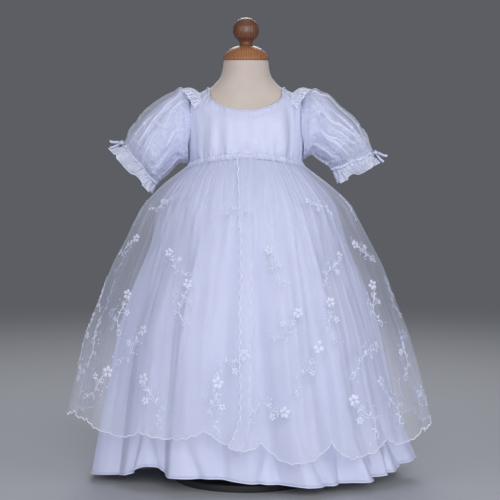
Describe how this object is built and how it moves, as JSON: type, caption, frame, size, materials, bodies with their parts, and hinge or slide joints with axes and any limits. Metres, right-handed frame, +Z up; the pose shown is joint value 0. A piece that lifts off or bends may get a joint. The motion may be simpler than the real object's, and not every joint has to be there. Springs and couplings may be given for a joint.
{
  "type": "christening gown on dress form",
  "caption": "Baby's satin gown with an open embroidered organza overskirt and short puffed sleeves, worn by a limbless padded dress form on a round stand.",
  "frame": {"origin": "middle of the underside of the stand's base, on the floor", "axes": "+Z up, -Y the way the gown's front faces, +X towards the gown's left sleeve, which is on the right when seen from the front"},
  "size_m": [0.5906, 0.4223, 0.7396],
  "materials": {
    "satin": "white satin with a soft directional sheen",
    "organza": "crisp translucent white organza",
    "lace": "gathered white lace",
    "pearl_button": "glossy pearl white",
    "jersey": "matt cream jersey",
    "cap_wood": "varnished brown wood",
    "stand_metal": "satin black paint"
  },
  "bodies": {
    "root": {"form_torso": "jersey", "form_neck_cap": "cap_wood", "form_knob": "cap_wood", "stand_pole": "stand_metal", "stand_base": "stand_metal", "bodice_front": "satin", "bodice_back_left": "satin", "bodice_back_right": "satin", "neck_binding": "satin", "waist_trim": "satin", "back_button_1": "pearl_button", "back_button_2": "pearl_button", "back_button_3": "pearl_button", "undersleeve_left": "satin", "undersleeve_right": "satin", "sleeve_left": "organza", "sleeve_right": "organza", "cuff_band_left": "organza", "cuff_band_right": "organza", "cuff_frill_left": "organza", "cuff_frill_right": "organza", "cuff_bow_left": "satin", "cuff_bow_right": "satin", "shoulder_frill_left": "lace", "shoulder_frill_right": "lace", "skirt_front": "satin", "skirt_back": "satin", "overskirt_front_left": "organza", "overskirt_front_right": "organza", "overskirt_back": "organza"}
  },
  "joints": []
}
